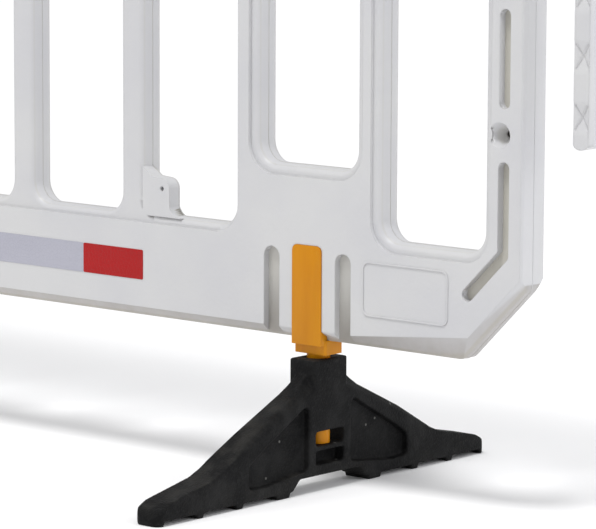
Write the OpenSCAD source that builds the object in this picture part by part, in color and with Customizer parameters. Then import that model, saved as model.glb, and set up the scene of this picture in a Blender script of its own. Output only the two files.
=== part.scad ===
// Interlocking pedestrian barrier panel: one hollow moulded panel, two clip-in spigots,
// two swivelling rubber feet and reflective sheeting. Millimetres, +Z up, origin on the
// ground under the middle of the panel. X runs along the panel, -Y is the front.

/* [Panel] */
// Length of the panel moulding, without its pegs and loops
panel_l = 2012; // [1980:2:2400]
// Height of the panel's top above the ground
overall_h = 1000; // [900:10:1250]
// Thickness of the panel
panel_t = 35; // [32:0.5:45]
// Clear height under the panel
ground_gap = 144; // [140:1:175]
// Wall of the hollow moulding
wall = 3.5; // [2.5:0.1:4.5]
// Leg of the 45 degree cut across each bottom corner
corner_cut = 71; // [50:1:72]
// Radius of the two top corners
top_corner_r = 60; // [30:5:90]
// Radius that rounds the ends of the bottom corner cuts
cut_round_r = 14; // [6:1:20]
// Height of the bevel along the bottom edge
bottom_bevel = 9.5; // [6:0.5:12]
// Depth of the bevel along the bottom edge
bevel_depth = 10; // [6:0.5:12]
// Extra height of the bottom bevel where it meets the corner cut
bevel_widening = 13; // [4:1:15]
// Length along the bottom edge over which the bevel widens
widening_l = 140; // [100:5:180]
// Height of the bevel along the corner cuts
cut_bevel = 8; // [5:0.5:10]
// Bevel along the top edge
top_bevel = 6; // [3:0.5:9]
// Bevel along the end faces
end_bevel = 2; // [1:0.5:4]
// Height of the upper board, above the slots
top_board_h = 210; // [190:1:240]
// Height of the lower board, below the slots
bottom_board_h = 101; // [96:1:125]
// Least width of an end post, which sets how many slots fit
end_post_w = 40; // [36:1:60]
// Depth of the step between the boards and the thinner field of ribs
board_step = 3.5; // [2:0.1:4]

/* [Slots] */
// Spacing of the slots
slot_pitch = 150; // [140:1:180]
// Width of a slot at the parting line
slot_w = 119.5; // [100:0.5:120]
// How much higher the slot above each foot ends
foot_slot_rise = 63; // [50:1:90]
// Corner radius of a slot at the parting line
slot_corner_r = 20; // [12:1:24]
// Draft of a slot's wall on each half
slot_draft = 0.5; // [0.2:0.1:2]
// Rounding where a slot meets the face
rim_r = 6; // [4:0.5:7]
// Width of the ledge around the two outer slots on each side
ledge_w = 10; // [8:0.5:12]

/* [Lugs] */
// Radius of the fixing lug in a slot's corner
lug_r = 10; // [8:0.5:12]
// Thickness of the lug
lug_t = 15; // [10:0.5:18]
// Distance of the lug's centre from the slot's side
lug_in = 24.6; // [20:0.2:28]
// Height of the lug's centre above the slot's lower end
lug_up = 26.7; // [22:0.1:30]
// Radius of the pilot hole in a lug
lug_hole_r = 2.3; // [1.5:0.1:3.5]
// Depth of that hole
lug_hole_depth = 12; // [6:1:15]

/* [End posts] */
// Width of the grooves pressed into the end posts
groove_w = 12.4; // [9:0.2:14]
// Depth of these grooves
groove_depth = 8; // [4:0.5:10]
// Length of one groove between two kiss-off cones
groove_l = 90; // [70:1:100]
// Spacing of the kiss-off cones
cone_pitch = 138; // [130:1:150]
// Height of the lowest cone above the slots' lower ends
cone_up = 109.5; // [100:0.5:120]
// Radius of a cone at the face
cone_r = 12.4; // [9:0.2:13]
// Radius of a cone's tip
cone_tip_r = 3; // [2:0.5:5]
// Distance of the cones from the panel's end
cone_inset = 26; // [24:0.5:28]
// Distance of the grooves from the panel's end
groove_inset = 21; // [20:0.5:24]
// Length along each axis of the slanted part of the end grooves
slant = 40; // [30:1:45]

/* [Pegs and loops] */
// Width of a coupling peg along the panel
peg_w = 21; // [18:0.5:23]
// Thickness of a coupling peg
peg_t = 18; // [15:0.5:20]
// Clear gap between the panel's end and a peg
peg_gap = 46.7; // [42:0.1:56]
// Height of the lower peg's tip above the panel's lower edge
peg_up = 202.5; // [190:0.5:215]
// Depth of the upper peg's neck below the panel's top
peg_down = 65.5; // [62:0.5:80]
// Length of a peg below its neck
peg_l = 198; // [170:1:215]
// Height of a peg's neck
neck_h = 30; // [24:1:36]
// Spacing of the crossed pinch marks on a peg
pinch_pitch = 54.4; // [48:0.2:56]
// Bore radius of a loop
loop_r = 13; // [12.5:0.1:15]
// Wall of a loop
loop_wall = 7; // [5:0.5:7]
// Height of a loop
loop_h = 70; // [50:1:90]

/* [Clips] */
// How far a foot's axis lies outside the middle of the slot above it
foot_offset = 3.5; // [0:0.5:6]
// Width of a clip's upright
clip_w = 35.8; // [30:0.2:38]
// Thickness of a clip's upright
clip_t = 10; // [8:0.5:12]
// Height of a clip's top above the panel's lower edge
clip_up = 90; // [70:1:96]
// Height of the block under the panel
block_h = 14; // [9:0.5:14]
// Width of the block under the panel
block_w = 39; // [36:0.5:42]
// Depth of the block under the panel
block_d = 26; // [24:0.5:28]
// How far the clip stands proud of the panel's face
clip_proud = 1; // [0.5:0.5:2]
// Radius of the spigot
spigot_r = 11.2; // [9:0.1:11.4]
// Clearance between the spigot and its socket, and around the clip
clearance = 0.3; // [0.2:0.05:0.5]
// Width of the relief grooves on both sides of a clip
relief_w = 19.2; // [15:0.2:20]
// Depth of the relief grooves
relief_depth = 7; // [4:0.5:9]
// Distance of the relief grooves from the clip's middle
relief_x = 44; // [41:0.5:48]
// Chamfer at the mouth of the clip's channel
mouth_chamfer = 8; // [4:0.5:9]

/* [Feet] */
// Length of a foot
foot_l = 484; // [440:2:520]
// Width of a foot
foot_w = 31.5; // [31:0.5:40]
// Gap between a foot's collar and the block above it
collar_gap = 4; // [3:0.5:8]
// Length of the collar along the foot
collar_l = 48; // [42:1:52]
// Height of the foot's toe
toe_h = 15; // [12:0.5:20]
// Radius of a toe's corners, seen from above
toe_r = 10; // [6:1:14]
// Half of the thickness of the fin beside the collar
fin_half = 7; // [5:0.5:9]
// Depth of the side pockets
pocket_depth = 8; // [5:0.5:9]
// Height of the ground lugs
stud_h = 4.5; // [3:0.5:6]
// Length of a ground lug
stud_l = 9; // [7:0.5:12]
// Height of the socket's floor
socket_floor_z = 43; // [41:0.5:46]
// Length of the windows in the column
window_l = 41; // [34:1:42]
// Height of the upper window
window_h = 14; // [10:0.5:16]
// Height of the lower window
low_window_h = 13.5; // [9:0.5:14]
// Thickness of the web that closes the lower window
window_web = 6; // [4:0.5:8]

/* [Sheeting] */
// Thickness of the reflective sheeting
sheet_t = 0.4; // [0.2:0.1:0.8]
// Height of a strip
strip_h = 29.4; // [25:0.2:34]
// Length of a red end block
red_l = 80.3; // [60:0.1:100]
// Distance from a foot's axis to the nearer end of a strip
strip_stop = 210.5; // [80:0.5:300]
// Height of the lower strip's middle above the panel's lower edge
low_strip_up = 51.2; // [46:0.1:56]
// Depth of the upper strip's middle below the panel's top
high_strip_down = 100; // [70:1:140]

/* [Hidden] */
$fn = 48;

HDPE = "whitesmoke";
AMBER = "orange";
RUBBER = "dimgray";
PALE = "gainsboro";
RED = "firebrick";

half_l = panel_l / 2;
half_t = panel_t / 2;
rib_half_t = half_t - board_step; // half of the ribs' thickness
slot_bottom_z = ground_gap + bottom_board_h;
slot_top_z = overall_h - top_board_h;
slots_per_side = floor((half_l - end_post_w - slot_w / 2) / slot_pitch); // beside the middle one
foot_slot = slots_per_side - 1;                                         // the slot above a foot
foot_x = foot_slot * slot_pitch + foot_offset;
foot_h = ground_gap - block_h - collar_gap;
past = 1;                       // how far a cutter reaches past the face it cuts
rim_reach = slot_draft + rim_r; // how much wider a slot is at the face

// ---------- helpers ----------

function unit(v) = v / norm(v);

// Points of an arc that rounds corner b between a and c with radius r.
function round_corner(a, b, c, r, steps = 6) =
    let (u = unit(a - b), v = unit(c - b),
         half = acos(u * v) / 2,
         m = b + unit(u + v) * r / sin(half),
         s = b + u * r / tan(half) - m,
         e = b + v * r / tan(half) - m,
         turn = s.x * e.y - s.y * e.x > 0 ? 1 : -1,
         sweep = (180 - 2 * half) * turn,
         start = atan2(s.y, s.x))
    [for (i = [0 : steps]) m + r * [cos(start + sweep * i / steps), sin(start + sweep * i / steps)]];

// Closed outline with every corner rounded by its own radius.
function rounded_outline(pts, radii) =
    let (n = len(pts))
    [for (i = [0 : n - 1])
        each round_corner(pts[(i + n - 1) % n], pts[i], pts[(i + 1) % n], radii[i])];

// Lays a drawing made in X and Y into the X-Z plane and gives it thickness along Y.
module upright(y0, y1) {
    translate([0, y1, 0]) rotate([90, 0, 0]) linear_extrude(y1 - y0) children();
}

// The same cut in the front face and in the rear face, to the given depth.
module both_faces(depth) {
    for (side = [0, 1])
        mirror([0, side, 0]) upright(-half_t - past, -half_t + depth) children();
}

module mirrored_x() {
    children();
    mirror([1, 0, 0]) children();
}

module rounded_rect(w, h, r) {
    square([w - 2 * r, h], center = true);
    square([w, h - 2 * r], center = true);
    for (x = [-1, 1])
        for (y = [-1, 1])
            translate([x * (w / 2 - r), y * (h / 2 - r)]) circle(r);
}

// A bar with round ends from point a to point b.
module stadium(a, b, w) {
    d = b - a;
    translate(a) rotate(atan2(d.y, d.x)) {
        translate([0, -w / 2]) square([norm(d), w]);
        circle(w / 2);
        translate([norm(d), 0]) circle(w / 2);
    }
}

// ---------- panel ----------

panel_corners = [
    [-half_l, overall_h], [-half_l, ground_gap + corner_cut], [-half_l + corner_cut, ground_gap],
    [half_l - corner_cut, ground_gap], [half_l, ground_gap + corner_cut], [half_l, overall_h]];
panel_radii = [top_corner_r, cut_round_r, cut_round_r, cut_round_r, cut_round_r, top_corner_r];

// Outer outline of the panel, pulled in by the given amount.
module panel_outline(pull = 0) {
    slope = pull * tan(22.5);
    pts = [
        [-half_l + pull, overall_h - pull],
        [-half_l + pull, ground_gap + corner_cut + slope],
        [-half_l + corner_cut + slope, ground_gap + pull],
        [half_l - corner_cut - slope, ground_gap + pull],
        [half_l - pull, ground_gap + corner_cut + slope],
        [half_l - pull, overall_h - pull]];
    polygon(rounded_outline(pts, [for (r = panel_radii) r - pull]));
}

// Three-sided bar that bevels the edge from a to b (X and Z) on both faces. The panel lies to
// the left of the walk from a to b. A skin moves the cut inwards for the cavity's sake.
module edge_bevel(a, b, run, depth, skin = 0) {
    d = b - a;
    slant_l = norm([run, depth]);
    leg = run + skin * slant_l / depth;
    deep = depth + skin * slant_l / run;
    over = past * leg / deep;
    for (side = [0, 1])
        mirror([0, side, 0]) translate([a.x, 0, a.y]) rotate([0, -atan2(d.y, d.x), 0])
            rotate([90, 0, 90]) translate([0, 0, -2 * panel_t]) linear_extrude(norm(d) + 4 * panel_t)
                polygon([[-half_t - past, leg + over], [-half_t - past, -2 * past],
                         [-half_t + deep + past * deep / leg, -past]]);
}

// Clean cut of everything that lies outside the panel's bevelled edges.
module panel_bevels(skin = 0) {
    edge_bevel([-half_l, ground_gap], [half_l, ground_gap], bottom_bevel, bevel_depth, skin);
    edge_bevel([half_l, overall_h], [-half_l, overall_h], top_bevel, top_bevel, skin);
    wide_x = half_l - corner_cut + 15;
    mirrored_x() {
        edge_bevel([wide_x - widening_l, ground_gap - bevel_widening], [wide_x, ground_gap],
                   bottom_bevel + bevel_widening, bevel_depth, skin);
        edge_bevel([half_l - corner_cut, ground_gap], [half_l, ground_gap + corner_cut],
                   cut_bevel, bevel_depth, skin);
        edge_bevel([half_l, ground_gap], [half_l, overall_h], end_bevel, end_bevel, skin);
    }
}

// A slot with drafted walls and rounded rims, as a cutter. Grow adds the wall for the cavity.
module slot_cut(x, z0, grow = 0) {
    knee = rim_r * (1 - sin(45));
    rim = [[half_t + past, rim_reach], [rib_half_t, rim_reach], [rib_half_t - knee, slot_draft + knee],
           [rib_half_t - rim_r, slot_draft], [0, 0]];
    edge = concat([for (p = rim) [p[0], p[1] + grow]],
                  [for (i = [len(rim) - 2 : -1 : 0]) [-rim[i][0], rim[i][1] + grow]]);
    r = slot_corner_r;
    w = slot_w;
    h = slot_top_z - z0;
    translate([x, 0, z0]) {
        translate([0, 0, r]) linear_extrude(h - 2 * r)
            polygon(concat([for (p = edge) [w / 2 + p[1], p[0]]],
                           [for (i = [len(edge) - 1 : -1 : 0]) [-w / 2 - edge[i][1], edge[i][0]]]));
        translate([-w / 2 + r, 0, 0]) rotate([90, 0, 90]) linear_extrude(w - 2 * r)
            polygon(concat([for (p = edge) [p[0], -p[1]]],
                           [for (i = [len(edge) - 1 : -1 : 0]) [edge[i][0], h + edge[i][1]]]));
        for (cx = [-w / 2 + r, w / 2 - r])
            for (cz = [r, h - r])
                translate([cx, 0, cz]) rotate([90, 0, 0]) rotate_extrude()
                    polygon(concat([[0, half_t + past]], [for (p = edge) [r + p[1], p[0]]],
                                   [[0, -half_t - past]]));
    }
}

function slot_z0(i) = abs(i) == foot_slot ? slot_bottom_z + foot_slot_rise : slot_bottom_z;

module slots(grow = 0) {
    for (i = [-slots_per_side : slots_per_side])
        slot_cut(i * slot_pitch, slot_z0(i), grow);
}

// Shallow ledge around the two outer slots on each side.
module ledges(skin = 0) {
    for (i = [foot_slot : slots_per_side])
        mirrored_x() both_faces(board_step + skin)
            translate([i * slot_pitch, (slot_z0(i) + slot_top_z) / 2])
                rounded_rect(slot_w + 2 * (ledge_w + skin), slot_top_z - slot_z0(i) + 2 * (ledge_w + skin),
                             slot_corner_r + ledge_w + skin);
}

step_margin = 1.5; // between a slot's rim and the edge of a board

// The field between the boards lies a little deeper than the boards.
module board_steps(skin = 0) {
    reach = (foot_slot - 1) * slot_pitch + slot_w / 2 - slot_corner_r + skin;
    over = rim_reach + step_margin + skin;
    both_faces(board_step + skin)
        translate([-reach, slot_bottom_z - over])
            square([2 * reach, slot_top_z - slot_bottom_z + 2 * over]);
}

// Fixing lugs in the inner lower corners of the slots beside the feet.
module lug_outline() {
    side = (foot_slot - 1) * slot_pitch - slot_w / 2;
    at = [side + lug_in, slot_bottom_z + lug_up];
    root = 1.6 * lug_r;
    translate(at) circle(lug_r);
    translate([side - past, slot_bottom_z - past]) square([lug_in + past, lug_up + past + 0.9 * lug_r]);
    polygon([[side - past, at.y], [side - past, at.y + 2 * lug_r], [side, at.y + 2 * lug_r],
             [side + lug_in / 2, at.y + 1.1 * lug_r], [at.x, at.y + lug_r], at]);
    translate([at.x, slot_bottom_z - past]) square([lug_r, lug_up + past]);
    translate([at.x + lug_r - past, slot_bottom_z - past]) difference() {
        square(root);
        translate([root, root]) circle(root);
    }
}

module lugs() {
    side = (foot_slot - 1) * slot_pitch - slot_w / 2;
    front = -rib_half_t;
    mirrored_x() difference() {
        upright(front, front + lug_t) lug_outline();
        translate([side + lug_in, front + lug_hole_depth, slot_bottom_z + lug_up])
            rotate([90, 0, 0]) cylinder(h = lug_hole_depth + past, r = lug_hole_r);
    }
}

// Heights of the kiss-off cones, from the lowest up.
cone_z = slot_bottom_z + cone_up;
cone_count = floor((slot_top_z + 20 - cone_z) / cone_pitch) + 1;
groove_x = half_l - groove_inset;

// Grooves between the cones, and a groove that bends inwards above and below them.
module post_grooves(w) {
    gap = (cone_pitch - groove_l) / 2;
    top_cone = cone_z + (cone_count - 1) * cone_pitch;
    reach = (groove_l - groove_w) / 2;
    for (i = [0 : cone_count - 2]) {
        mid = cone_z + (i + 0.5) * cone_pitch;
        stadium([groove_x, mid - reach], [groove_x, mid + reach], w);
    }
    low = cone_z - gap - groove_w / 2;
    low_bend = ground_gap + corner_cut + 31;
    stadium([groove_x, low], [groove_x, low_bend], w);
    stadium([groove_x, low_bend], [groove_x - slant, low_bend - slant], w);
    high = top_cone + gap + groove_w / 2;
    high_bend = slot_top_z + 79;
    stadium([groove_x, high], [groove_x, high_bend], w);
    stadium([groove_x, high_bend], [groove_x - slant, high_bend + slant], w);
}

module kiss_off_cones(skin = 0) {
    depth = half_t - wall / 2;
    for (i = [0 : cone_count - 1])
        for (side = [0, 1])
            mirrored_x() mirror([0, side, 0])
                translate([half_l - cone_inset, -half_t - past, cone_z + i * cone_pitch]) rotate([-90, 0, 0])
                    cylinder(h = depth + past, r1 = cone_r + skin, r2 = cone_tip_r + skin);
}

// Channel for a clip's upright, open at the panel's lower edge, with a flared mouth.
module clip_channel(skin = 0) {
    w = clip_w / 2 + clearance + skin;
    top = ground_gap + clip_up + clearance + skin;
    corner = 6 + skin;
    low = ground_gap - 3 * past;
    flare = mouth_chamfer;
    mirrored_x() translate([foot_x, 0, 0])
        upright(-half_t - past, -half_t - clip_proud + clip_t + clearance + skin) {
            polygon([[-w - flare - past, low], [w + flare + past, low],
                     [w, ground_gap + flare], [w, top - corner], [w - corner, top - corner],
                     [w - corner, top], [-w + corner, top], [-w + corner, top - corner],
                     [-w, top - corner], [-w, ground_gap + flare]]);
            for (x = [-w + corner, w - corner])
                translate([x, top - corner]) circle(corner);
        }
}

// Relief grooves beside a clip, open at the panel's lower edge.
module relief_grooves(skin = 0) {
    w = relief_w + 2 * skin;
    top = ground_gap + clip_up - 4.5 + skin;
    mirrored_x()
        for (x = [-relief_x, relief_x])
            upright(-half_t - past, -half_t + relief_depth + skin)
                stadium([foot_x + x, ground_gap - w], [foot_x + x, top - w / 2], w);
}

// Raised frame of the blank marking field.
module marking_frame() {
    upright(-half_t - 0.8, -half_t + past)
        translate([half_l - 134, ground_gap + 56]) difference() {
            rounded_rect(102, 52, 8);
            rounded_rect(98, 48, 6);
        }
}

// One drop-in peg with its neck, its tip at height z.
module peg(z) {
    x0 = half_l + peg_gap;
    xm = x0 + peg_w / 2;
    top = z + peg_l + neck_h;
    r = 5;
    difference() {
        intersection() {
            union() {
                translate([xm, 0, z]) linear_extrude(top - z) rounded_rect(peg_w, peg_t, r);
                translate([half_l - wall, 0, top - neck_h / 2]) rotate([90, 0, 90])
                    linear_extrude(xm - half_l + wall) rounded_rect(peg_t, neck_h, r);
            }
            upright(-half_t, half_t) {
                stadium([xm, z + peg_w / 2], [xm, top - peg_w / 2], peg_w);
                translate([half_l - 2 * wall, top - neck_h]) square([xm - half_l + 2 * wall, neck_h]);
            }
        }
        for (i = [0 : floor((peg_l - peg_w) / pinch_pitch)])
            translate([xm, 0, z + 29 + i * pinch_pitch]) pinch_mark();
    }
}

// Crossed pinch lines on the front and the rear of a peg.
module pinch_mark() {
    for (face = [-1, 1])
        for (lean = [-32, 32])
            translate([0, face * peg_t / 2, 0]) rotate([0, lean, 0]) rotate([0, 0, 45])
                cube([2.4, 2.4, 26], center = true);
}

// A loop that takes the peg of the next panel, its top at height z.
module loop(z) {
    r = loop_r + loop_wall;
    translate([loop_x, 0, z - loop_h]) difference() {
        union() {
            cylinder(h = loop_h, r = r);
            translate([0, -r, 0]) cube([-half_l + wall - loop_x, 2 * r, loop_h]);
        }
        translate([0, 0, -past]) cylinder(h = loop_h + 2 * past, r = loop_r);
    }
}

loop_x = -half_l - peg_gap - peg_w + loop_r + loop_wall;
loop_play = 1;

module cavity() {
    difference() {
        upright(-half_t + wall, half_t - wall) panel_outline(wall);
        panel_bevels(wall);
        slots(wall);
        ledges(wall);
        board_steps(wall);
        mirrored_x() both_faces(groove_depth + wall) post_grooves(groove_w + 2 * wall);
        kiss_off_cones(wall);
        clip_channel(wall);
        relief_grooves(wall);
    }
}

module panel() {
    color(HDPE) {
        difference() {
            union() {
                difference() {
                    upright(-half_t, half_t) panel_outline();
                    panel_bevels();
                    slots();
                    ledges();
                    board_steps();
                    mirrored_x() both_faces(groove_depth) post_grooves(groove_w);
                    kiss_off_cones();
                    clip_channel();
                    relief_grooves();
                }
                lugs();
                marking_frame();
            }
            cavity();
        }
        for (tip = [ground_gap + peg_up, overall_h - peg_down - neck_h - peg_l]) {
            peg(tip);
            loop(tip + peg_l - loop_play);
        }
    }
}

// ---------- clips ----------

module clip() {
    front = -half_t - clip_proud;
    low = ground_gap - block_h;
    top = ground_gap + clip_up;
    shoulder = ground_gap - 5;
    color(AMBER) translate([foot_x, 0, 0]) {
        upright(front, front + clip_t) {
            translate([0, (shoulder + top) / 2]) rounded_rect(clip_w, top - shoulder, 6);
            translate([-clip_w / 2, shoulder]) square([clip_w, 12]);
        }
        translate([0, 0, low]) linear_extrude(block_h) rounded_rect(block_w, block_d, 3);
        translate([0, 0, socket_floor_z + clearance])
            cylinder(h = low - socket_floor_z - clearance + past, r = spigot_r);
    }
}

// ---------- feet ----------

// Side outline of a foot, in Y and Z, from the middle of the foot.
function foot_half() = [
    [collar_l / 2, foot_h], [collar_l / 2, foot_h - 13], [collar_l / 2 + 22, foot_h - 31],
    [foot_l / 2 - 134, foot_h - 60.5], [foot_l / 2 - 90, foot_h - 87], [foot_l / 2 - 74, toe_h + 17.5],
    [foot_l / 2 - 16, toe_h + 5.5], [foot_l / 2 - 5, toe_h], [foot_l / 2, toe_h - 7],
    [foot_l / 2, stud_h]];

module across_foot() {
    translate([-foot_w / 2, 0, 0]) rotate([90, 0, 90]) linear_extrude(foot_w) children();
}

module foot_side() {
    h = foot_half();
    polygon(concat(h, [for (i = [len(h) - 1 : -1 : 0]) [-h[i].x, h[i].y]]));
}

// Ground lugs at even steps, the inner pair forming the shoulders of the arch.
module foot_studs() {
    for (i = [0 : 2])
        for (side = [-1, 1])
            translate([side * (foot_l / 2 - stud_l / 2 - i * 54), 0]) translate([-stud_l / 2, 0])
                square([stud_l, stud_h + past]);
    for (side = [-1, 1])
        translate([side * (arch_foot + stud_l), 0]) translate([-stud_l, 0]) square([2 * stud_l, stud_h + past]);
}

arch_foot = 58.5;
arch_top = 43.5;
arch_h = 15;

// Side pocket of one arm, seen from the side.
module pocket_outline() {
    inner = collar_l / 2 + 7;
    outer = foot_l / 2 - 125;
    pts = [[inner, 22], [inner, 86], [outer - 16, 47.5], [outer, 37], [outer, 16], [outer - 24, 15]];
    polygon(rounded_outline(pts, [4, 5, 8, 6, 5, 4]));
}

// Cuts that thin the arm into a fin along its top, from the collar outwards.
module fin_cut() {
    start = [collar_l / 2, foot_h - 29];
    end = [foot_l / 2 - 88, foot_h - 87.8];
    d = end - start;
    hw = foot_w / 2;
    lean = 10; // how far the shoulder beside the fin rises towards it
    intersection() {
        translate([0, start.x, start.y]) rotate([atan2(d.y, d.x), 0, 0]) rotate([-90, 0, 0])
            translate([0, 0, -40]) linear_extrude(norm(d) + 40)
                polygon([[hw + past, past * lean / (hw - fin_half)], [fin_half, -lean],
                         [fin_half, -60], [hw + past, -60]]);
        translate([0, collar_l / 2, 0]) cube([foot_w, foot_l / 2, foot_h + past]);
    }
}

module foot_body() {
    difference() {
        intersection() {
            union() {
                across_foot() foot_side();
                across_foot() foot_studs();
            }
            linear_extrude(foot_h) rounded_rect(foot_w, foot_l, toe_r);
        }
        translate([-foot_w, 0, 0]) rotate([90, 0, 90]) linear_extrude(2 * foot_w)
            polygon([[-arch_foot, -past], [-arch_foot, 0], [-arch_top, arch_h],
                     [arch_top, arch_h], [arch_foot, 0], [arch_foot, -past]]);
        for (side = [0, 1])
            for (end = [0, 1])
                mirror([side, 0, 0]) mirror([0, end, 0]) {
                    fin_cut();
                    translate([foot_w / 2 - pocket_depth, 0, 0]) rotate([90, 0, 90])
                        linear_extrude(pocket_depth + past) pocket_outline();
                }
        translate([-foot_w, -window_l / 2, socket_floor_z]) cube([2 * foot_w, window_l, window_h]);
        for (side = [0, 1])
            mirror([side, 0, 0]) translate([window_web / 2, -window_l / 2, 25])
                cube([foot_w, window_l, low_window_h]);
        translate([0, 0, socket_floor_z])
            cylinder(h = foot_h - socket_floor_z + past, r = spigot_r + clearance);
    }
}

module foot() {
    color(RUBBER) translate([foot_x, 0, 0]) foot_body();
}

// ---------- sheeting ----------

low_strip_z = ground_gap + low_strip_up;
high_strip_z = overall_h - high_strip_down;
pale_l = 2 * (foot_x - strip_stop - red_l); // between the red blocks

// Both strips lie on a face of a board; side 0 is the front and side 1 the rear.
module pale_sheet(z, side) {
    color(PALE) mirror([0, side, 0]) upright(-half_t - sheet_t, -half_t)
        translate([-pale_l / 2, z - strip_h / 2]) square([pale_l, strip_h]);
}

module red_sheets(z, side) {
    color(RED) mirror([0, side, 0]) upright(-half_t - sheet_t, -half_t)
        for (x = [-pale_l / 2 - red_l, pale_l / 2])
            translate([x, z - strip_h / 2]) square([red_l, strip_h]);
}

panel();
clip();  // clip_right
mirror([1, 0, 0]) clip();  // clip_left
foot();  // foot_right
mirror([1, 0, 0]) foot();  // foot_left
pale_sheet(low_strip_z, 0);  // low_front_pale
red_sheets(low_strip_z, 0);  // low_front_red
pale_sheet(low_strip_z, 1);  // low_rear_pale
red_sheets(low_strip_z, 1);  // low_rear_red
pale_sheet(high_strip_z, 0);  // high_front_pale
red_sheets(high_strip_z, 0);  // high_front_red
pale_sheet(high_strip_z, 1);  // high_rear_pale
red_sheets(high_strip_z, 1);  // high_rear_red
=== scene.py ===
"""Looks of an interlocking pedestrian barrier panel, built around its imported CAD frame.

The panel is a hollow blow-moulded shell with a moulding seam, the clips are glossy amber
plastic, the feet are cast from recycled rubber crumb, and the strips are cut from
retroreflective film. Everything is in metres, in the CAD frame: +X along the panel towards
its pegs, -Y the front face, +Z up, the ground at Z = 0.
"""

import sys

import logging
import math
from dataclasses import dataclass, field
from enum import Enum
from typing import Any

import bmesh
import bpy
from mathutils import Matrix, Vector


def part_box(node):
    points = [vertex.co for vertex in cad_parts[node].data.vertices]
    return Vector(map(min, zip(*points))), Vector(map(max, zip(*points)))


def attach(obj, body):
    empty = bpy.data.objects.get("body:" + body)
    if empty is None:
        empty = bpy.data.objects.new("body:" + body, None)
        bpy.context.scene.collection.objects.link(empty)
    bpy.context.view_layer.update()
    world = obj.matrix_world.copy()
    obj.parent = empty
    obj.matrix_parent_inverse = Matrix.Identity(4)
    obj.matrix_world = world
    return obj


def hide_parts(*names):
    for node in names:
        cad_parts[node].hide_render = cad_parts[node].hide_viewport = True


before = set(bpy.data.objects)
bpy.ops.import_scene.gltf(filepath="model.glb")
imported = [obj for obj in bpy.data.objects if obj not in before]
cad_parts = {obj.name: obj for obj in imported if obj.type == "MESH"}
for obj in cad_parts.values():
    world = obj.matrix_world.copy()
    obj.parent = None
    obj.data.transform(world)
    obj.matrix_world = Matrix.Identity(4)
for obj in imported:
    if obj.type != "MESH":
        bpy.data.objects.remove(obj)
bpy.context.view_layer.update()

LOG = logging.getLogger("barrier")
MM = 0.001


class Slot(str, Enum):
    """The record's material slots."""

    POLYETHYLENE = "white_polyethylene"
    AMBER = "amber_plastic"
    RUBBER = "black_rubber"
    PALE_FILM = "pale_sheeting"
    RED_FILM = "red_sheeting"


class Side(str, Enum):
    """The two ends of the barrier, each with a clip and a foot."""

    RIGHT = "right"
    LEFT = "left"


# ---------------------------------------------------------------- shader maths


class Signal:
    """A shader socket on which Python arithmetic adds Math nodes."""

    def __init__(self, paint: "Paint", socket: bpy.types.NodeSocket) -> None:
        """Wraps a socket.

        Args:
            paint: The node tree that the socket belongs to.
            socket: An output socket.
        """
        self.paint = paint
        self.socket = socket

    def _math(self, operation: str, *values: Any) -> "Signal":
        """Adds one Math node and returns its output."""
        return self.paint.add("ShaderNodeMath", {"operation": operation}, *values)

    def __add__(self, other: Any) -> "Signal":
        """Sum of two values."""
        return self._math("ADD", self, other)

    __radd__ = __add__

    def __sub__(self, other: Any) -> "Signal":
        """Difference of two values."""
        return self._math("SUBTRACT", self, other)

    def __rsub__(self, other: Any) -> "Signal":
        """Difference with the plain number first."""
        return self._math("SUBTRACT", other, self)

    def __mul__(self, other: Any) -> "Signal":
        """Product of two values."""
        return self._math("MULTIPLY", self, other)

    __rmul__ = __mul__

    def __gt__(self, other: Any) -> "Signal":
        """1 where this is greater than the other value, else 0."""
        return self._math("GREATER_THAN", self, other)

    def __lt__(self, other: Any) -> "Signal":
        """1 where this is less than the other value, else 0."""
        return self._math("LESS_THAN", self, other)

    def __abs__(self) -> "Signal":
        """Absolute value."""
        return self._math("ABSOLUTE", self)

    def step(self, low: float, high: float) -> "Signal":
        """Smooth step from 0 at low to 1 at high.

        Args:
            low: Value at which the result is 0.
            high: Value at which the result is 1. It may be below low.

        Returns:
            The smoothed value.
        """
        settings = {"interpolation_type": "SMOOTHSTEP"}
        if low < high:
            return self.paint.add("ShaderNodeMapRange", settings, self, low, high, 0.0, 1.0)
        return self.paint.add("ShaderNodeMapRange", settings, self, high, low, 1.0, 0.0)


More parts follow.
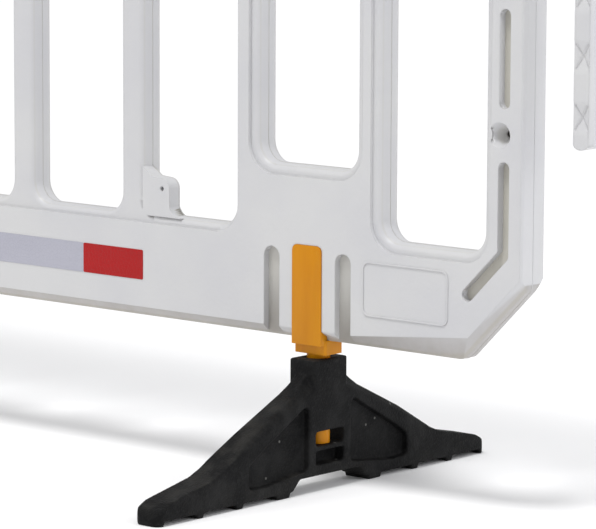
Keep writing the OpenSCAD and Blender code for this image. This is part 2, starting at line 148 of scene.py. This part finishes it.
class Paint:
    """A material's node tree, with one method that adds any node."""

    def __init__(self, name: str) -> None:
        """Starts a material with an empty Principled shader.

        Args:
            name: The material's name.
        """
        self.material = bpy.data.materials.new(name)
        self.material.use_nodes = True
        self.tree = self.material.node_tree
        self.shader = self.tree.nodes["Principled BSDF"]

    def add(self, kind: str, settings: dict[str, Any], *values: Any, out: int = 0) -> Signal:
        """Adds one node.

        Args:
            kind: The node's type.
            settings: Properties that are set before its sockets.
            values: One value, Signal or None for each input socket, in their order.
            out: Index of the output socket that is wanted.

        Returns:
            The wanted output.
        """
        node = self.tree.nodes.new(kind)
        for key, value in settings.items():
            setattr(node, key, value)
        sockets = [s for s in node.inputs if s.enabled]
        for socket, value in zip(sockets, values):
            self.join(socket, value)
        outputs = [s for s in node.outputs if s.enabled]
        return Signal(self, outputs[out])

    def join(self, socket: bpy.types.NodeSocket, value: Any) -> None:
        """Links a Signal to an input socket, or sets a plain value on it.

        Args:
            socket: The input socket.
            value: The Signal or the plain value. None leaves the socket as it is.
        """
        if isinstance(value, Signal):
            self.tree.links.new(value.socket, socket)
        elif value is not None:
            socket.default_value = value

    def put(self, name: str, value: Any) -> None:
        """Sets or links one of the shader's own sockets, by its name."""
        self.join(self.shader.inputs[name], value)

    def place(self) -> Signal:
        """Object coordinates."""
        return self.add("ShaderNodeTexCoord", {}, out=3)

    def facing(self) -> Signal:
        """The surface's own direction, in the frame's axes."""
        return self.add("ShaderNodeNewGeometry", {}, out=1)

    def axis(self, vector: Signal, which: int) -> Signal:
        """One component of a vector.

        Args:
            vector: The vector to take apart.
            which: 0 for X, 1 for Y, 2 for Z.

        Returns:
            The component.
        """
        return self.add("ShaderNodeSeparateXYZ", {}, vector, out=which)

    def stretch(self, vector: Signal, scale: tuple[float, float, float]) -> Signal:
        """A vector with each axis multiplied by its own number."""
        return self.add("ShaderNodeVectorMath", {"operation": "MULTIPLY"}, vector, scale)

    def noise(self, vector: Signal, scale: float, detail: float = 3.0, rough: float = 0.55) -> Signal:
        """Soft noise between 0 and 1.

        Args:
            vector: Where it is read.
            scale: Number of blobs in a metre.
            detail: Number of finer layers.
            rough: Strength of each finer layer.

        Returns:
            The noise.
        """
        return self.add("ShaderNodeTexNoise", {}, vector, scale, detail, rough)

    def cells(self, vector: Signal, scale: float, feature: str = "F1", out: int = 0) -> Signal:
        """Cells of a Voronoi pattern.

        Args:
            vector: Where it is read.
            scale: Number of cells in a metre.
            feature: Which distance is returned.
            out: 0 for the distance and 1 for each cell's own colour.

        Returns:
            The distance or the colour.
        """
        return self.add("ShaderNodeTexVoronoi", {"feature": feature}, vector, scale, out=out)

    def mix(self, share: Any, low: Any, high: Any) -> Signal:
        """Blends two colours.

        Args:
            share: 0 for the first colour and 1 for the second.
            low: First colour.
            high: Second colour.

        Returns:
            The blended colour.
        """
        return self.add("ShaderNodeMix", {"data_type": "RGBA"}, share, low, high)

    def bump(self, height: Signal, depth: float, round_edges: float = 0.0) -> Signal:
        """A bumped surface direction.

        Args:
            height: Height between 0 and 1.
            depth: Size of the relief in metres.
            round_edges: Radius with which edges catch the light, in metres.

        Returns:
            The direction, for the Normal socket.
        """
        node = self.tree.nodes.new("ShaderNodeBump")
        self.join(node.inputs["Distance"], depth)
        self.join(node.inputs["Height"], height)
        if round_edges:
            self.join(node.inputs["Normal"], self.add("ShaderNodeBevel", {"samples": 6}, round_edges))
        return Signal(self, node.outputs[0])


def rgba(red: float, green: float, blue: float) -> tuple[float, float, float, float]:
    """An opaque linear colour."""
    return (red, green, blue, 1.0)


# ---------------------------------------------------------------- finishes


@dataclass(frozen=True)
class Polyethylene:
    """Satin white polyethylene, blow moulded, with painted shade in its recesses and on its low downward
    faces, tinted dusty and brownish, and rubbed dust on its lower edges.
    """

    name: str = "white_polyethylene"
    white: tuple = rgba(0.60, 0.60, 0.605)
    cool: tuple = rgba(0.555, 0.555, 0.578)
    # Dusty tint, used for the rubbed dust and for the painted shade in the recesses.
    dust: tuple = rgba(0.47, 0.445, 0.365)
    # Brownish tint for the painted shade on the downward faces, partly dirt.
    soil_and_shade: tuple = rgba(0.33, 0.30, 0.27)
    recess_y: float = 0.0118
    end_x: float = 1.006
    edge_r: float = 1.8 * MM
    roughness: float = 0.42

    def make(self) -> bpy.types.Material:
        """Builds the material.

        Returns:
            The finished material.
        """
        p = Paint(self.name)
        place, facing = p.place(), p.facing()
        y, z = p.axis(place, 1), p.axis(place, 2)
        up, out = p.axis(facing, 2), abs(p.axis(facing, 1))
        mottle = p.noise(place, 7.0, 4.0)
        streak = p.noise(p.stretch(place, (26.0, 26.0, 3.0)), 1.0, 3.0)
        colour = p.mix(mottle.step(0.35, 0.7) * 0.8, self.white, self.cool)
        inside = abs(p.axis(place, 0)) < self.end_x
        # Painted shade: recessed floors that face front or back are darkened towards the dusty tint, partly
        # dust and partly shade in the recesses.
        hollow = abs(y).step(self.recess_y, self.recess_y - 0.0022) * out.step(0.3, 0.8) * inside
        colour = p.mix(hollow * (streak * 0.5 + 0.45), colour, self.dust)
        # Painted shade: faces that point down, low on the panel, are darkened towards a brownish tint, partly
        # dirt and partly shade on the downward faces.
        underside_shade = up.step(-0.25, -0.75) * z.step(0.30, 0.18)
        smear = p.noise(p.stretch(place, (1.0, 1.0, 0.6)), 55.0, 5.0, 0.65)
        colour = p.mix(underside_shade * (smear * 0.5 + 0.35), colour, self.soil_and_shade)
        rubs = p.noise(p.stretch(place, (60.0, 60.0, 420.0)), 1.0, 4.0, 0.7).step(0.66, 0.74)
        low_rubs = rubs * z.step(0.34, 0.16)
        colour = p.mix(low_rubs * 0.22, colour, self.dust)
        p.put("Base Color", colour)
        p.put("Roughness", mottle * 0.12 + low_rubs * 0.15 + (self.roughness - 0.06))
        p.put("IOR", 1.51)
        p.put("Subsurface Weight", 0.06)
        p.put("Subsurface Radius", (0.006, 0.006, 0.005))
        p.put("Subsurface Scale", 1.0)
        peel = p.noise(place, 210.0, 2.0, 0.4)
        ripple = p.noise(p.stretch(place, (9.0, 9.0, 14.0)), 1.0, 2.0)
        p.put("Normal", p.bump(ripple * 0.8 + peel * 0.2, 0.0011, self.edge_r))
        return p.material


@dataclass(frozen=True)
class AmberPlastic:
    """Glossy injection-moulded amber plastic with faint flow lines and rubbed edges."""

    name: str = "amber_plastic"
    amber: tuple = rgba(0.60, 0.240, 0.002)
    deep: tuple = rgba(0.52, 0.185, 0.001)
    scuff: tuple = rgba(0.72, 0.40, 0.06)

    def make(self) -> bpy.types.Material:
        """Builds the material.

        Returns:
            The finished material.
        """
        p = Paint(self.name)
        place = p.place()
        flow = p.noise(p.stretch(place, (40.0, 40.0, 7.0)), 1.0, 3.0)
        colour = p.mix(flow.step(0.35, 0.75), self.amber, self.deep)
        scratches = p.noise(p.stretch(place, (700.0, 260.0, 60.0)), 1.0, 3.0, 0.6).step(0.68, 0.75)
        colour = p.mix(scratches * 0.5, colour, self.scuff)
        p.put("Base Color", colour)
        p.put("Roughness", flow * 0.1 + scratches * 0.25 + 0.26)
        p.put("Specular IOR Level", 0.22)
        p.put("Subsurface Weight", 0.08)
        p.put("Subsurface Radius", (0.004, 0.0015, 0.0003))
        p.put("Subsurface Scale", 1.0)
        ripple = p.noise(place, 60.0, 2.0)
        p.put("Normal", p.bump(ripple + scratches * -0.4, 0.00025))
        return p.material


@dataclass(frozen=True)
class CrumbRubber:
    """Pressed black rubber crumb: fine grain, pale crumbs, dusty scuffs on the raised faces."""

    name: str = "black_rubber"
    black: tuple = rgba(0.0050, 0.0051, 0.0054)
    grey: tuple = rgba(0.018, 0.018, 0.018)
    crumb: tuple = rgba(0.17, 0.17, 0.16)
    dust: tuple = rgba(0.055, 0.053, 0.048)

    def make(self) -> bpy.types.Material:
        """Builds the material.

        Returns:
            The finished material.
        """
        p = Paint(self.name)
        place = p.place()
        up = p.axis(p.facing(), 2)
        z = p.axis(place, 2)
        patch = p.noise(place, 26.0, 5.0, 0.6)
        colour = p.mix(patch.step(0.42, 0.72), self.black, self.grey)
        granules = p.cells(place, 520.0)
        tone = p.axis(p.cells(place, 520.0, out=1), 0)
        colour = p.mix(tone.step(0.55, 1.0) * 0.35, colour, self.grey)
        pale = p.axis(p.cells(place, 210.0, out=1), 0) > 0.986
        spots = pale * p.cells(place, 210.0).step(0.34, 0.22)
        colour = p.mix(spots * 0.75, colour, self.crumb)
        swirl = p.noise(p.stretch(place, (30.0, 95.0, 160.0)), 1.0, 6.0, 0.7).step(0.60, 0.80)
        powder = p.noise(place, 11.0, 3.0).step(0.5, 0.75)
        colour = p.mix(swirl * powder * 0.45, colour, self.dust)
        settled = up.step(0.35, 0.95) * p.noise(place, 48.0, 4.0).step(0.40, 0.72)
        colour = p.mix(settled * 0.35 + z.step(0.035, 0.004) * powder * 0.25, colour, self.dust)
        p.put("Base Color", colour)
        p.put("Roughness", patch * 0.18 + settled * 0.15 + 0.50)
        p.put("Specular IOR Level", 0.10)
        grain = p.noise(place, 330.0, 3.0, 0.6)
        relief = granules * 0.5 + grain * 0.5 + spots * 0.3
        p.put("Normal", p.bump(relief, 0.0007))
        return p.material


@dataclass(frozen=True)
class ReflectiveFilm:
    """Retroreflective film: a clear top layer over a fine honeycomb of sealed cells."""

    name: str
    colour: tuple
    seam: tuple
    cell: float = 260.0
    metallic: float = 0.25

    def make(self) -> bpy.types.Material:
        """Builds the material.

        Returns:
            The finished material.
        """
        p = Paint(self.name)
        place = p.place()
        walls = p.cells(place, self.cell, "DISTANCE_TO_EDGE").step(0.07, 0.02)
        tone = p.noise(p.stretch(place, (5.0, 5.0, 40.0)), 1.0, 3.0)
        colour = p.mix(tone.step(0.3, 0.8) * 0.35 + walls * 0.4, self.colour, self.seam)
        p.put("Base Color", colour)
        p.put("Metallic", walls * -0.2 + self.metallic)
        p.put("Roughness", tone * 0.1 + 0.28)
        p.put("Specular IOR Level", 0.25)
        p.put("Coat Weight", 0.1)
        p.put("Coat Roughness", 0.15)
        p.put("Normal", p.bump(1 - walls, 0.00008))
        return p.material


@dataclass(frozen=True)
class StudioFloor:
    """Plain pale floor."""

    name: str = "studio_floor"
    pale: tuple = rgba(0.93, 0.93, 0.935)

    def make(self) -> bpy.types.Material:
        """Builds the material.

        Returns:
            The finished material.
        """
        p = Paint(self.name)
        p.put("Base Color", self.pale)
        p.put("Roughness", 0.9)
        p.put("Specular IOR Level", 0.1)
        return p.material


FINISHES: dict[Slot, Any] = {
    Slot.POLYETHYLENE: Polyethylene(),
    Slot.AMBER: AmberPlastic(),
    Slot.RUBBER: CrumbRubber(),
    Slot.PALE_FILM: ReflectiveFilm("pale_film", rgba(0.44, 0.44, 0.505), rgba(0.37, 0.37, 0.44)),
    Slot.RED_FILM: ReflectiveFilm("red_film", rgba(0.40, 0.0, 0.001), rgba(0.30, 0.0, 0.0), metallic=0.1),
}


# ---------------------------------------------------------------- mesh helpers


def merged_copy(node: str) -> bmesh.types.BMesh:
    """Copies a CAD node's loose triangles into one joined mesh.

    Args:
        node: The CAD node's name.

    Returns:
        The joined mesh, with its flat faces made whole again.
    """
    bm = bmesh.new()
    bm.from_mesh(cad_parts[node].data)
    bmesh.ops.remove_doubles(bm, verts=bm.verts, dist=0.004 * MM)
    bmesh.ops.dissolve_degenerate(bm, edges=bm.edges, dist=0.002 * MM)
    bmesh.ops.recalc_face_normals(bm, faces=bm.faces)
    return bm


def shape(bm: bmesh.types.BMesh, name: str) -> bpy.types.Object:
    """Turns a bmesh into an object at the origin.

    Args:
        bm: The mesh, which is freed.
        name: The new piece's name.

    Returns:
        The new object.
    """
    mesh = bpy.data.meshes.new(name)
    bm.to_mesh(mesh)
    bm.free()
    piece = bpy.data.objects.new(name, mesh)
    bpy.context.scene.collection.objects.link(piece)
    return piece


def smooth(piece: bpy.types.Object, angle: float) -> None:
    """Shades a piece smooth, with its edges kept sharp above an angle in degrees."""
    piece.data.polygons.foreach_set("use_smooth", [True] * len(piece.data.polygons))
    piece.data.set_sharp_from_angle(angle=math.radians(angle))


def weigh_normals(piece: bpy.types.Object) -> None:
    """Lets a piece's large flat faces keep their own direction where they meet round ones."""
    weighted = piece.modifiers.new("weighted", "WEIGHTED_NORMAL")
    weighted.keep_sharp = True


def apply_modifiers(piece: bpy.types.Object) -> None:
    """Bakes a piece's modifiers into its mesh.

    Args:
        piece: The piece.
    """
    graph = bpy.context.evaluated_depsgraph_get()
    made = bpy.data.meshes.new_from_object(piece.evaluated_get(graph))
    piece.modifiers.clear()
    piece.data = made


class Dresser:
    """Makes each finish once and puts it on pieces."""

    def __init__(self) -> None:
        """Starts with no material made."""
        self.made: dict[Slot, bpy.types.Material] = {}

    def dress(self, piece: bpy.types.Object, slot: Slot) -> None:
        """Gives a piece the finish of a material slot.

        Args:
            piece: The piece.
            slot: The record's slot.
        """
        if slot not in self.made:
            self.made[slot] = FINISHES[slot].make()
        piece.data.materials.clear()
        piece.data.materials.append(self.made[slot])

    def finish(self, piece: bpy.types.Object, slot: Slot, body: str, *nodes: str) -> None:
        """Dresses a piece, makes it ride on a body and lets it stand for CAD nodes.

        Args:
            piece: The piece.
            slot: The record's slot.
            body: The CAD body that carries it.
            nodes: CAD nodes that it stands for.
        """
        self.dress(piece, slot)
        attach(piece, body)
        if nodes:
            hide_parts(*nodes)
        LOG.info("%s: %d faces, rides on %s", piece.name, len(piece.data.polygons), body)


# ---------------------------------------------------------------- sub-assemblies


@dataclass
class Foot:
    """A swivelling foot of pressed rubber crumb, with the soft edges of a cast piece."""

    side: Side
    voxel: float = 1.25 * MM
    rounds: int = 5
    pull: float = 0.5

    def build(self, dresser: Dresser) -> None:
        """Casts the foot: the CAD solid is remeshed finely and its edges are worn round.

        Args:
            dresser: Gives the finish.
        """
        node = f"foot_{self.side.value}"
        piece = shape(merged_copy(node), f"{node}_casting")
        remesh = piece.modifiers.new("fine", "REMESH")
        remesh.mode = "VOXEL"
        remesh.voxel_size = self.voxel
        apply_modifiers(piece)
        bm = bmesh.new()
        bm.from_mesh(piece.data)
        for _ in range(self.rounds):
            bmesh.ops.smooth_vert(bm, verts=bm.verts, factor=self.pull, use_axis_x=True,
                                  use_axis_y=True, use_axis_z=True)
        bm.to_mesh(piece.data)
        bm.free()
        smooth(piece, 180.0)
        dresser.finish(piece, Slot.RUBBER, node, node)


@dataclass
class Clip:
    """An amber clip: its upright in the panel's channel, its block and its spigot."""

    side: Side
    edge: float = 1.4 * MM
    corner_angle: float = 50.0

    def build(self, dresser: Dresser) -> None:
        """Rounds the clip's edges as an injection moulding has them.

        Args:
            dresser: Gives the finish.
        """
        node = f"clip_{self.side.value}"
        bm = merged_copy(node)
        bmesh.ops.dissolve_limit(bm, angle_limit=math.radians(0.5), verts=bm.verts, edges=bm.edges)
        sharp = [e for e in bm.edges if len(e.link_faces) == 2
                 and e.calc_face_angle() > math.radians(self.corner_angle)]
        bmesh.ops.bevel(bm, geom=sharp, offset=self.edge, segments=3, profile=0.5, affect="EDGES",
                        material=-1, clamp_overlap=True)
        piece = shape(bm, f"{node}_moulding")
        smooth(piece, 32.0)
        dresser.finish(piece, Slot.AMBER, "panel", node)


@dataclass
class Strip:
    """One strip of reflective film on a board: a pale sheet and a red block at each end."""

    height: str
    face: str
    corner: float = 1.5 * MM

    def sheet(self, low: Vector, high: Vector) -> bmesh.types.BMesh:
        """A thin sheet with rounded corners that fills a box.

        Args:
            low: The box's lowest corner.
            high: The box's highest corner.

        Returns:
            The sheet's closed mesh.
        """
        bm = bmesh.new()
        bmesh.ops.create_grid(bm, x_segments=1, y_segments=1, size=0.5)
        size = high - low
        bmesh.ops.scale(bm, vec=(size.x, size.z, 1.0), verts=bm.verts)
        bmesh.ops.bevel(bm, geom=bm.verts[:], offset=self.corner, segments=4, profile=0.5,
                        affect="VERTICES", material=-1)
        made = bmesh.ops.extrude_face_region(bm, geom=bm.faces[:])
        lifted = [v for v in made["geom"] if isinstance(v, bmesh.types.BMVert)]
        bmesh.ops.translate(bm, vec=(0.0, 0.0, size.y), verts=lifted)
        bmesh.ops.translate(bm, vec=(0.0, 0.0, -size.y / 2), verts=bm.verts)
        bmesh.ops.rotate(bm, cent=(0, 0, 0), matrix=Matrix.Rotation(math.radians(90), 3, "X"), verts=bm.verts)
        bmesh.ops.translate(bm, vec=(low + high) / 2, verts=bm.verts)
        bmesh.ops.recalc_face_normals(bm, faces=bm.faces)
        return bm

    def build(self, dresser: Dresser) -> None:
        """Cuts and lays the strip's three sheets.

        Args:
            dresser: Gives the finishes.
        """
        stem = f"{self.height}_{self.face}"
        low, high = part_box(f"{stem}_pale")
        pale = shape(self.sheet(low, high), f"{stem}_pale_film")
        dresser.finish(pale, Slot.PALE_FILM, "panel", f"{stem}_pale")
        red_low, red_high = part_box(f"{stem}_red")
        blocks = self.sheet(red_low, Vector((low.x, red_high.y, red_high.z)))
        other = self.sheet(Vector((high.x, red_low.y, red_low.z)), red_high)
        mesh = bpy.data.meshes.new("other_block")
        other.to_mesh(mesh)
        other.free()
        blocks.from_mesh(mesh)
        red = shape(blocks, f"{stem}_red_film")
        dresser.finish(red, Slot.RED_FILM, "panel", f"{stem}_red")


@dataclass(frozen=True)
class PinchMarks:
    """The crossed dents that the mould pinches into a peg, one above the other."""

    peg_x: tuple = (1045.0 * MM, 1074.0 * MM)
    middle_x: float = 1063.35 * MM
    peg_reach: float = 200.0 * MM
    peg_tips: tuple = (346.5 * MM, 706.5 * MM)
    half_thick: float = 9.0 * MM
    first: float = 28.5 * MM
    spacing: float = 54.5 * MM
    count: int = 3
    half_w: float = 11.5 * MM
    half_h: float = 15.0 * MM
    depth: float = 3.4 * MM
    grid: float = 1.5 * MM

    def cut(self, bm: bmesh.types.BMesh, low: Vector, high: Vector) -> None:
        """Cuts the faces inside a box into a grid across X and Z.

        Args:
            bm: The mesh.
            low: The box's lowest corner.
            high: The box's highest corner.
        """
        faces = [f for f in bm.faces if all(
            low[i] < v.co[i] < high[i] for v in f.verts for i in (0, 2))]
        edges = dict.fromkeys(e for f in faces for e in f.edges)
        geom = [*faces, *edges, *dict.fromkeys(v for f in faces for v in f.verts)]
        for axis in (2, 0):
            way = Vector((0.0, 0.0, 0.0))
            way[axis] = 1.0
            for k in range(1, int((high[axis] - low[axis]) / self.grid)):
                made = bmesh.ops.bisect_plane(bm, geom=geom, dist=1e-6, plane_no=way,
                                              plane_co=way * (low[axis] + k * self.grid))
                geom = made["geom"]

    def dent(self, x: float, z: float, height: float) -> float:
        """Share of a mark's full depth at a place, as an upturned pyramid has it.

        Args:
            x: The place's distance along the panel.
            z: The place's height.
            height: Height of the mark's middle.

        Returns:
            1 in the mark's middle, down to 0 on its rim and outside it.
        """
        across = abs(x - self.middle_x) / self.half_w
        along = abs(z - height) / self.half_h
        return max(0.0, 1.0 - max(across, along))

    def press(self, bm: bmesh.types.BMesh) -> None:
        """Presses the marks into both faces of each peg.

        Args:
            bm: The panel's mesh.
        """
        for tip in self.peg_tips:
            top = tip + self.first + self.spacing * (self.count - 1) + self.half_h
            low = Vector((self.peg_x[0], 0.0, tip - 1.0 * MM))
            self.cut(bm, low, Vector((self.peg_x[1], 0.0, tip + self.peg_reach)))
            for v in bm.verts:
                if v.co.x < self.peg_x[0] or not tip < v.co.z < top:
                    continue
                heights = (tip + self.first + k * self.spacing for k in range(self.count))
                share = max(self.dent(v.co.x, v.co.z, height) for height in heights)
                v.co.y *= 1.0 - share * self.depth / self.half_thick


@dataclass(frozen=True)
class Seam:
    """The fine raised line where the two halves of the mould met."""

    height: float = 0.35 * MM
    half_w: float = 0.7 * MM
    sunk: float = 0.2 * MM
    trim: float = 1.0 * MM
    end_x: float = 1006.0 * MM

    def outlines(self, skin: bmesh.types.BMesh) -> list[list[bmesh.types.BMVert]]:
        """Finds the closed outlines of the panel's outside in its middle plane.

        Args:
            skin: A copy of the panel's mesh, which is cut.

        Returns:
            The outlines, each as its vertices in order.
        """
        cut = bmesh.ops.bisect_plane(skin, geom=[*skin.verts, *skin.edges, *skin.faces], dist=1e-6,
                                     plane_co=(0, 0, 0), plane_no=(0, 1, 0))
        edges = dict.fromkeys(e for e in cut["geom_cut"] if isinstance(e, bmesh.types.BMEdge))
        loops = []
        while edges:
            edge, _ = edges.popitem()
            start, here = edge.verts
            loop = [start, here]
            while here is not start:
                step = next((e for e in here.link_edges if e in edges), None)
                if step is None:
                    break
                del edges[step]
                here = step.other_vert(here)
                if here is not start:
                    loop.append(here)
            loops.append(loop)
        return loops

    def bead(self, into: bmesh.types.BMesh, loop: list[bmesh.types.BMVert], top: float) -> None:
        """Lays the raised line along one outline.

        Args:
            into: The mesh that takes it.
            loop: The outline.
            top: Height of the panel's top. The line is trimmed flush there and on pegs and loops.
        """
        rings = []
        for vert in loop:
            out = Vector((vert.normal.x, 0.0, vert.normal.z)).normalized()
            flush = vert.co.z > top - self.trim or abs(vert.co.x) > self.end_x + self.trim
            rise = -self.sunk if flush else self.height
            section = ((-self.half_w, -self.sunk), (-self.half_w * 0.5, rise * 0.75), (0.0, rise),
                       (self.half_w * 0.5, rise * 0.75), (self.half_w, -self.sunk), (0.0, -self.sunk * 2))
            rings.append([into.verts.new(vert.co + out * lift + Vector((0.0, across, 0.0)))
                          for across, lift in section])
        for ring, after in zip(rings, rings[1:] + rings[:1]):
            for i in range(len(ring)):
                j = (i + 1) % len(ring)
                into.faces.new((ring[i], ring[j], after[j], after[i]))

    def build(self, skin: bmesh.types.BMesh, top: float) -> bpy.types.Object:
        """Builds the whole seam.

        Args:
            skin: A copy of the panel's outside, which is freed.
            top: Height of the panel's top.

        Returns:
            The seam.
        """
        made = bmesh.new()
        for loop in self.outlines(skin):
            if len(loop) > 3:
                self.bead(made, loop, top)
        skin.free()
        bmesh.ops.recalc_face_normals(made, faces=made.faces)
        return shape(made, "panel_mould_seam")


def outside_only(bm: bmesh.types.BMesh) -> None:
    """Deletes the sealed inner skin, so that only the island with the widest reach is left.

    Args:
        bm: The panel's mesh.
    """
    start = max(bm.verts, key=lambda v: v.co.x)
    reached, front = {start}, [start]
    while front:
        vert = front.pop()
        for edge in vert.link_edges:
            other = edge.other_vert(vert)
            if other not in reached:
                reached.add(other)
                front.append(other)
    bmesh.ops.delete(bm, geom=[v for v in bm.verts if v not in reached], context="VERTS")


@dataclass
class Panel:
    """The hollow moulding, with its pinch marks and the mould's seam."""

    edge_angle: float = 34.0
    marks: PinchMarks = field(default_factory=PinchMarks)
    seam: Seam = field(default_factory=Seam)

    def build(self, dresser: Dresser) -> None:
        """Builds the moulding and its seam.

        Args:
            dresser: Gives the finish.
        """
        bm = merged_copy("panel")
        outside_only(bm)
        seam = self.seam.build(bm.copy(), max(v.co.z for v in bm.verts))
        bmesh.ops.dissolve_limit(bm, angle_limit=math.radians(0.3), verts=bm.verts, edges=bm.edges)
        self.marks.press(bm)
        piece = shape(bm, "panel_moulding")
        smooth(piece, self.edge_angle)
        weigh_normals(piece)
        dresser.finish(piece, Slot.POLYETHYLENE, "panel", "panel")
        smooth(seam, 60.0)
        dresser.finish(seam, Slot.POLYETHYLENE, "panel")


# ---------------------------------------------------------------- stage


@dataclass
class Studio:
    """Camera, floor and soft lights."""

    eye: tuple = (3.02223, -2.69043, 0.71659)
    yaw: float = 40.4618
    pitch: float = 8.1306
    roll: float = 0.2511
    lens: float = 226.95893
    sensor: float = 36.0
    floor_size: float = 60.0
    sky: float = 0.60
    sun: float = 1.72
    sun_width: float = 17.0
    sun_way: tuple = (-0.04, 0.36, -0.93)

    def camera(self) -> None:
        """Puts the camera at the viewing angle, looking at the panel's lower right corner."""
        yaw, pitch, roll = (math.radians(a) for a in (self.yaw, self.pitch, self.roll))
        ahead = Vector((-math.sin(yaw) * math.cos(pitch), math.cos(yaw) * math.cos(pitch), -math.sin(pitch)))
        right = Vector((math.cos(yaw), math.sin(yaw), 0.0))
        up = right.cross(ahead)
        turned_right = math.cos(roll) * right + math.sin(roll) * up
        turned_up = -math.sin(roll) * right + math.cos(roll) * up
        data = bpy.data.cameras.new("camera")
        data.sensor_width = self.sensor
        data.lens = self.lens
        data.clip_start, data.clip_end = 0.05, 200.0
        eye = bpy.data.objects.new("camera", data)
        turn = Matrix((turned_right, turned_up, -ahead)).transposed().to_4x4()
        eye.matrix_world = Matrix.Translation(Vector(self.eye)) @ turn
        bpy.context.scene.collection.objects.link(eye)
        bpy.context.scene.camera = eye

    def floor(self) -> None:
        """Lays the floor."""
        bm = bmesh.new()
        bmesh.ops.create_grid(bm, x_segments=1, y_segments=1, size=self.floor_size / 2)
        floor = shape(bm, "studio_floor")
        floor.data.materials.append(StudioFloor().make())

    def light(self, name: str, power: float, size: float, at: tuple, aim: tuple, tint: tuple) -> None:
        """Adds one soft area light.

        Args:
            name: The light's name.
            power: Watts.
            size: Side of the square light, in metres.
            at: Where it hangs.
            aim: The point that it faces.
            tint: Its colour.
        """
        data = bpy.data.lights.new(name, "AREA")
        data.energy, data.size, data.color = power, size, tint
        lamp = bpy.data.objects.new(name, data)
        way = Vector(aim) - Vector(at)
        lamp.matrix_world = Matrix.Translation(Vector(at)) @ way.to_track_quat("-Z", "Y").to_matrix().to_4x4()
        bpy.context.scene.collection.objects.link(lamp)

    def overhead(self) -> None:
        """Hangs the broad overhead light, which reaches every part of the floor alike."""
        data = bpy.data.lights.new("overhead", "SUN")
        data.energy, data.angle = self.sun, math.radians(self.sun_width)
        lamp = bpy.data.objects.new("overhead", data)
        lamp.matrix_world = Vector(self.sun_way).to_track_quat("-Z", "Y").to_matrix().to_4x4()
        bpy.context.scene.collection.objects.link(lamp)

    def build(self) -> None:
        """Sets the whole stage."""
        self.camera()
        self.floor()
        world = bpy.data.worlds.new("studio")
        world.use_nodes = True
        world.node_tree.nodes["Background"].inputs[0].default_value = (1.0, 1.0, 1.0, 1.0)
        world.node_tree.nodes["Background"].inputs[1].default_value = self.sky
        bpy.context.scene.world = world
        self.overhead()
        aim = (0.75, 0.0, 0.25)
        self.light("right_fill", 22.0, 1.6, (3.2, 0.6, 1.5), aim, (0.95, 0.96, 1.0))
        self.light("front_glow", 6.0, 0.8, (-0.4, -2.6, 1.6), aim, (1.0, 0.99, 0.97))
        bpy.context.scene.view_settings.view_transform = "Standard"


def main() -> None:
    """Builds the stage, then every sub-assembly, and reports each piece."""
    logging.basicConfig(level=logging.INFO, format="%(message)s", stream=sys.stdout)
    Studio().build()
    dresser = Dresser()
    Panel().build(dresser)
    for side in Side:
        Clip(side).build(dresser)
        Foot(side).build(dresser)
    for height in ("low", "high"):
        for face in ("front", "rear"):
            Strip(height, face).build(dresser)


if __name__ == "__main__":
    main()
